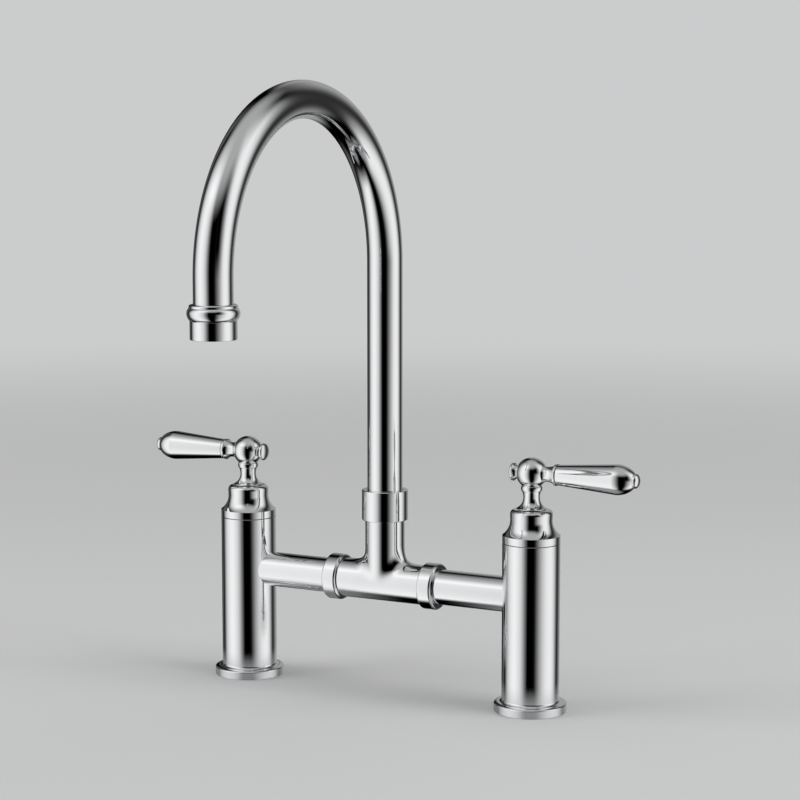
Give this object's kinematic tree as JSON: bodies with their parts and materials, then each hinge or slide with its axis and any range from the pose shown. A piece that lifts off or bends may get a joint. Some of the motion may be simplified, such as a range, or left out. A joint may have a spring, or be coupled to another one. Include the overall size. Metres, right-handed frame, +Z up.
{
  "type": "bridge kitchen faucet",
  "caption": "Deck-mounted bridge faucet: pillars joined by a raised bridge, a swivelling gooseneck spout on it, and quarter-turn valves with lever handles.",
  "frame": {"origin": "on the deck, under the middle of the faucet's bounding box", "axes": "+Z up, +X along the bridge towards the right-hand pillar seen from the front, -Y towards the spout's outlet"},
  "size_m": [0.3434, 0.2342, 0.3841],
  "materials": {
    "chrome": "polished",
    "brass": "machined",
    "steel": "machined",
    "rubber": "matt",
    "ceramic": "lapped",
    "plastic": "moulded"
  },
  "bodies": {
    "body": {"pillar_body_left": "chrome", "pillar_body_right": "chrome", "base_gasket_left": "rubber", "base_gasket_right": "rubber", "cartridge_body_left": "brass", "cartridge_body_right": "brass", "cartridge_seal_left": "rubber", "cartridge_seal_right": "rubber", "cartridge_oring_left": "rubber", "cartridge_oring_right": "rubber", "fixed_disc_left": "ceramic", "fixed_disc_right": "ceramic", "bonnet_left": "chrome", "bonnet_right": "chrome", "bridge_tube_left": "chrome", "bridge_tube_right": "chrome", "union_nut_left": "chrome", "union_nut_right": "chrome", "union_washer_left": "rubber", "union_washer_right": "rubber", "tee_body": "chrome", "spout_nut": "chrome", "swivel_bush": "plastic"},
    "left_handle": {"moving_disc_left": "ceramic", "spindle_left": "brass", "spindle_oring_left": "rubber", "spindle_circlip_left": "steel", "handle_hub_left": "chrome", "hub_grub_screw_left": "steel", "lever_shaft_left": "steel", "lever_ferrule_left": "chrome", "lever_grip_left": "chrome", "lever_end_button_left": "chrome", "finial_left": "chrome"},
    "right_handle": {"moving_disc_right": "ceramic", "spindle_right": "brass", "spindle_oring_right": "rubber", "spindle_circlip_right": "steel", "handle_hub_right": "chrome", "hub_grub_screw_right": "steel", "lever_shaft_right": "steel", "lever_ferrule_right": "chrome", "lever_grip_right": "chrome", "lever_end_button_right": "chrome", "finial_right": "chrome"},
    "spout": {"spout_spigot": "brass", "spigot_oring_lower": "rubber", "spigot_oring_upper": "rubber", "spout_tube": "chrome", "outlet_collar": "chrome", "aerator_housing": "chrome", "aerator_washer": "rubber", "aerator_insert": "plastic", "aerator_screen": "steel"}
  },
  "joints": [
    {"name": "left_valve", "type": "hinge", "parent": "body", "child": "left_handle", "pos_m": [-0.1016, 0.0946, 0.13], "axis": [0, 0, 1], "range_deg": [0, 90]},
    {"name": "right_valve", "type": "hinge", "parent": "body", "child": "right_handle", "pos_m": [0.1016, 0.0946, 0.13], "axis": [0, 0, 1], "range_deg": [-90, 0]},
    {"name": "spout_swivel", "type": "hinge", "parent": "body", "child": "spout", "pos_m": [0, 0.0946, 0.12], "axis": [0, 0, 1], "continuous": true}
  ]
}
